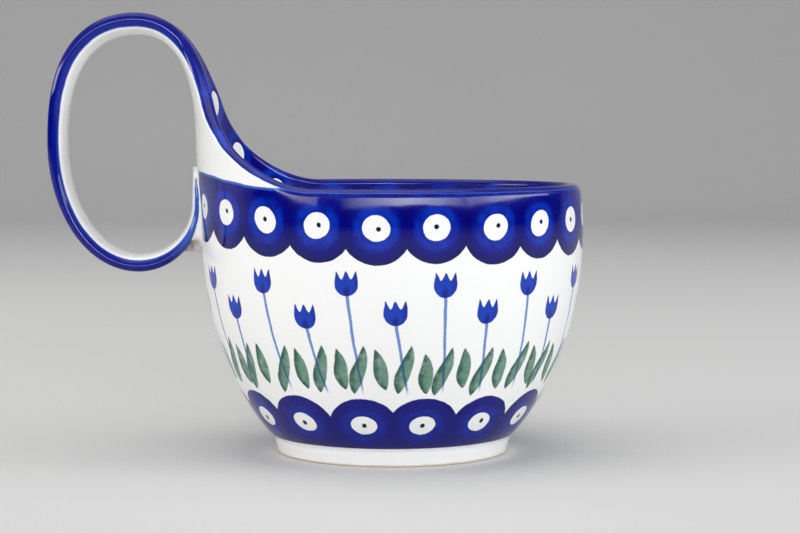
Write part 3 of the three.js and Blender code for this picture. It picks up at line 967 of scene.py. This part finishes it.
def oval_row(paint, run, away, pitch, seed):
    """A row of white ovals: the mask, and how far the point is from the nearest one."""
    turn = run / pitch
    nearest = paint.math("ROUND", turn)
    offset = (turn - nearest) * pitch
    level = away + paint.chance(nearest, seed) * 0.8
    shift = offset + paint.chance(nearest, seed + 9) * 1.0
    return paint.inside(paint.length(shift / 3.6, level / 3.0), 1.0, 0.04), offset


def inside_paint(paint):
    """The inside: a scalloped cobalt band under the lip with a row of ovals, then white."""
    edge, run = paint.attribute("edge"), paint.attribute("run")
    stray = paint.drift(190, 0.3)[0]
    inset = paint.ramp(run, 130.0, 160.0, 8.5, 6.0)
    ovals, offset = oval_row(paint, run + OVAL_SHIFT, edge - inset, OVAL_PITCH, 503)
    scallop = 9.2 + paint.math("SQRT", paint.most(81 - offset * offset, 0.0)) * 0.42
    band = paint.inside(edge + stray - scallop, 0.0, 0.15)
    reach = paint.length(offset, edge - inset)
    light = paint.ramp(reach, 3.4, 5.2) * paint.ramp(reach, 8.5, 6.2)
    painted = paint.blend("white", cobalt_wash(paint, light), band)
    return paint.blend(painted, "white", ovals)


def past_border(paint):
    """How far a point of the edge is past the line where the cobalt stops, towards the outside."""
    border = paint.ramp(paint.attribute("along"), 4.0, 40.0, 0.88, 0.80)
    return paint.attribute("face") + paint.drift(190, 0.03)[0] - border


def strap_paint(paint, tip):
    """Cobalt over the strap's outer face and most of its edges, with ovals down the middle."""
    face, along, sideways = (paint.attribute(name) for name in ("face", "along", "sideways"))
    level = past_border(paint)
    ovals, _ = oval_row(paint, along - 3.0, sideways, STRAP_OVAL_PITCH, 601)
    ovals = ovals * paint.inside(face, -0.6) * paint.ramp(along, STRAP_BAND_START, STRAP_BAND_START + 1)
    blue = cobalt_wash(paint, paint.ramp(face, -0.5, 0.1) * 0.35)
    blue = paint.blend(blue, "washed", paint.ramp(level, -0.16, -0.01) * 0.75)
    # The cobalt is painted paler over the strap's last stretch before the tail's tip.
    thin = paint.ramp(along, tip - 30.0, tip - 18.0) * 0.55
    blue = paint.blend(blue, "washed", thin)
    band = paint.inside(level, 0.0, 0.025) * paint.inside(along, tip - 2.6, 0.2)
    painted = paint.blend("white", blue, band)
    return paint.blend(painted, "white", ovals)


def glaze_relief(paint):
    """Soft ripples from the wheel and the brush, orange peel and a few pinholes."""
    ripple = paint.noise(70, 2, 0.4) * 0.10
    peel = paint.noise(900, 2, 0.5) * 0.0035
    sockets = {"Vector": paint.place(), "Scale": 260.0}
    cell = paint.node("ShaderNodeTexVoronoi", None, sockets, ("Distance", "Color"))
    rare = paint.ramp(paint.split(cell[1])[0], 0.93, 0.94)
    pinhole = paint.ramp(cell[0], 0.075, 0.03) * rare
    return ripple + peel - pinhole * 0.06, pinhole


def glaze_roughness(paint, base):
    return paint.ramp(paint.noise(60, 3, 0.5), 0.3, 0.7, base * 0.8, base * 1.35)


def bowl_glaze(colours):
    paint = Paint("painted_white_glaze", colours)
    relief, pinhole = glaze_relief(paint)
    outer = outside_paint(paint)
    inner = inside_paint(paint)
    level = past_border(paint)
    inner = paint.blend(inner, "washed", paint.ramp(level, -0.1, 0.0) * 0.6)
    painted = paint.blend(outer, inner, paint.inside(level, 0.0, 0.025))
    painted = paint.blend(painted, "leaf_dark", pinhole * 0.25)
    return paint.glaze(painted, glaze_roughness(paint, 0.075), relief)


def strap_glaze(colours, tip):
    paint = Paint("painted_cobalt_glaze", colours)
    relief, _ = glaze_relief(paint)
    inner = inside_paint(paint)
    along = paint.attribute("along")
    painted = strap_paint(paint, tip)
    face = paint.attribute("face")
    low = paint.ramp(along, STRAP_BAND_START + 1, STRAP_BAND_START) * paint.inside(face, -0.2, 0.05)
    painted = paint.blend(painted, inner, low)
    return paint.glaze(painted, glaze_roughness(paint, 0.075), relief)


def foot_glaze(colours):
    """White glaze, wiped off the ring that stands on the shelf."""
    paint = Paint("wiped_foot_glaze", colours)
    relief, _ = glaze_relief(paint)
    height = paint.split(paint.place())[2] * 1000 + paint.drift(300, 0.18)[0]
    radius = Wall(paint).radius
    on_ring = paint.ramp(radius, 30.6, 30.9)
    bare = paint.ramp(height, 0.95, 0.55) * on_ring
    grain = paint.noise(2600, 3, 0.7)
    thin = paint.ramp(grain, 0.3, 0.8) * 0.5
    clay = paint.blend("clay", "white", thin)
    painted = paint.blend("white", clay, bare)
    roughness = glaze_roughness(paint, 0.08) * (1 - bare) + bare * 0.62
    return paint.glaze(painted, roughness, relief + grain * bare * 0.03)


def slip_glaze(colours):
    """Pale slip with a little iron showing in the corner under the tail."""
    paint = Paint("joining_slip_glaze", colours)
    relief, _ = glaze_relief(paint)
    height = paint.split(paint.place())[2] * 1000
    cloud = paint.noise(330, 3, 0.6)
    low = paint.ramp(height, 68.6, 66.2) * paint.ramp(height, 62.5, 64.6)
    stain = low * paint.ramp(cloud, 0.36, 0.62)
    painted = paint.blend("white", "rust", stain * 0.6)
    return paint.glaze(painted, glaze_roughness(paint, 0.14), relief + cloud * 0.12)


# ---- Operators ----


class MUG_OT_clay(bpy.types.Operator):
    """Throw the bowl, turn its foot and pull the loop strap out of its rim"""

    bl_idname = "mug.clay"
    bl_label = "Bowl, foot and strap"

    def execute(self, context):
        clay = Clay(context.scene.mug_sizes)
        colours = context.scene.mug_paint
        points, values, triangles, parts = clay_skin(clay)
        points = clay.stray(points)
        whole = new_mesh("whole_skin", points, triangles)
        normals = np.empty(len(points) * 3, np.float32)
        whole.vertex_normals.foreach_get("vector", normals)
        normals = normals.reshape(-1, 3)
        bpy.data.meshes.remove(whole)
        for part, name, material, slot, node in (
            (0, "fired_bowl", bowl_glaze(colours), "white_glaze", "bowl_body"),
            (1, "wiped_foot", foot_glaze(colours), "foot_glaze", "foot_ring"),
            (2, "pulled_strap", strap_glaze(colours, clay.loop_length), "cobalt_glaze", "loop_strap"),
        ):
            used, index = np.unique(triangles[parts == part], return_inverse=True)
            mesh = new_mesh(name, points[used], index.reshape(-1, 3))
            for column, label in enumerate(Skin.ATTRIBUTES):
                layer = mesh.attributes.new(label, "FLOAT", "POINT")
                layer.data.foreach_set("value", values[used, column].astype(np.float32))
            mesh.normals_split_custom_set_from_vertices(normals[used].tolist())
            place_piece(name, mesh, material, [node])
        return {"FINISHED"}


class MUG_OT_slip(bpy.types.Operator):
    """Press joining slip into the corner round the strap's tail"""

    bl_idname = "mug.slip"
    bl_label = "Joining slip"

    def execute(self, context):
        clay = Clay(context.scene.mug_sizes)
        points, _, triangles, _ = slip_skin(clay)
        mesh = new_mesh("tail_slip", clay.stray(points), triangles)
        place_piece(
            "tail_slip", mesh, slip_glaze(context.scene.mug_paint), ["tail_slip_fillet"]
        )
        return {"FINISHED"}


AIM = (AXIS_X, 0, 0.07)
LIGHTS = (  # name, place, size, power, tint and spread in degrees
    ("front_strip", (0.25, -1.35, 0.46), (2.6, 0.22), 4.2, (0.94, 0.97, 1.0), 80),
    ("left_strip", (-1.45, -0.35, 0.52), (1.9, 0.30), 3.1, (1.0, 0.98, 0.95), 80),
    ("right_strip", (1.5, -0.35, 0.52), (1.9, 0.30), 3.0, (0.95, 0.98, 1.0), 80),
    ("overhead", (-0.2, 0.1, 1.5), (1.4, 1.4), 8.4, (1.0, 1.0, 1.0), 180),
)
FLOOR_FRONT, FLOOR_BACK = -3.0, 1.6  # the flat part, along y
FLOOR_HALF_WIDTH = 4.0
COVE_RADIUS = 0.8  # where the floor bends up into the backdrop
BACKDROP_HEIGHT = 3.0


def soft_panel(name, place, size, power, tint, spread):
    """A rectangular soft light that faces the mug, with a louvre that narrows its spread."""
    data = bpy.data.lights.new(name, "AREA")
    data.shape = "RECTANGLE"
    data.size, data.size_y = size
    data.energy = power
    data.color = tint
    data.spread = math.radians(spread)
    light = bpy.data.objects.new(name, data)
    bpy.context.scene.collection.objects.link(light)
    light.location = place
    light.rotation_euler = (Vector(AIM) - Vector(place)).to_track_quat("-Z", "Y").to_euler()


class MUG_OT_stage(bpy.types.Operator):
    """Set the pale floor, the soft lights and the camera"""

    bl_idname = "mug.stage"
    bl_label = "Floor, lights and camera"

    def execute(self, context):
        stage = context.scene.mug_stage
        profile = [(FLOOR_FRONT, 0.0), (FLOOR_BACK, 0.0)]
        for turn in map(math.radians, range(-84, 1, 6)):
            back, up = COVE_RADIUS * math.cos(turn), COVE_RADIUS * math.sin(turn)
            profile.append((FLOOR_BACK + back, COVE_RADIUS + up))
        profile.append((FLOOR_BACK + COVE_RADIUS, BACKDROP_HEIGHT))
        points = [(x, y, z) for y, z in profile for x in (-FLOOR_HALF_WIDTH, FLOOR_HALF_WIDTH)]
        faces = [(i, i + 1, i + 3, i + 2) for i in range(0, len(points) - 2, 2)]
        mesh = bpy.data.meshes.new("sweep_floor")
        mesh.from_pydata(points, [], faces)
        mesh.shade_smooth()
        floor = bpy.data.objects.new("sweep_floor", mesh)
        context.scene.collection.objects.link(floor)
        low = [0.96 * part for part in stage.floor]
        paint = Paint("pale_floor", SimpleNamespace(low=low, high=stage.floor))
        cloud = paint.noise(5, 3, 0.5)
        tint = paint.blend("low", "high", cloud)
        grain = paint.noise(600, 3, 0.6) * 0.01
        mesh.materials.append(paint.glaze(tint, 0.55 + cloud * 0.1, grain))

        world = bpy.data.worlds.new("soft_room")
        context.scene.world = world
        world.use_nodes = True
        room = Nodes(world.node_tree)
        place = room.node("ShaderNodeTexCoord", None, None, "Generated")
        rise = room.split(place)[2]
        sockets = {"Vector": place, "Scale": 3.0, "Detail": 4.0}
        cloud = room.node("ShaderNodeTexNoise", None, sockets, "Fac")
        strength = room.ramp(rise + (cloud - 0.5) * 0.10, 0.12, 0.34, 0.06, 0.50)
        light = {"Color": (0.93, 0.96, 1.0, 1.0), "Strength": strength}
        background = room.node("ShaderNodeBackground", None, light)
        room.node("ShaderNodeOutputWorld", None, {"Surface": background}, ())

        for light in LIGHTS:
            soft_panel(*light)

        data = bpy.data.cameras.new("front_camera")
        data.lens = stage.camera_lens
        data.sensor_width = 36
        data.dof.use_dof = False
        camera = bpy.data.objects.new("front_camera", data)
        context.scene.collection.objects.link(camera)
        camera.location = (AXIS_X - stage.camera_left, -stage.camera_away, stage.camera_height)
        camera.rotation_euler = (math.pi / 2 - stage.camera_pitch, 0, -stage.camera_yaw)
        context.scene.camera = camera
        context.scene.view_settings.view_transform = "Standard"
        return {"FINISHED"}


class MUG_PT_panel(bpy.types.Panel):
    """Lists the steps and the sizes and colours they use"""

    bl_label = "Loop-handled Mug"
    bl_idname = "MUG_PT_panel"
    bl_space_type = "VIEW_3D"
    bl_region_type = "UI"
    bl_category = "Mug"

    def draw(self, context):
        for step in STEPS:
            self.layout.operator(step.bl_idname)
        for group in (context.scene.mug_sizes, context.scene.mug_paint, context.scene.mug_stage):
            column = self.layout.column(align=True)
            for name in group.__annotations__:
                column.prop(group, name)


GROUPS = {"mug_sizes": MugSizes, "mug_paint": MugPaint, "mug_stage": MugStage}
STEPS = (MUG_OT_clay, MUG_OT_slip, MUG_OT_stage)


def register():
    for made in (*GROUPS.values(), *STEPS, MUG_PT_panel):
        bpy.utils.register_class(made)
    for name, group in GROUPS.items():
        setattr(bpy.types.Scene, name, PointerProperty(type=group))


def unregister():
    for name in GROUPS:
        delattr(bpy.types.Scene, name)
    for made in (MUG_PT_panel, *reversed(STEPS), *reversed(GROUPS.values())):
        bpy.utils.unregister_class(made)


def main():
    register()
    bpy.ops.mug.clay()
    bpy.ops.mug.slip()
    bpy.ops.mug.stage()


if __name__ == "__main__":
    main()
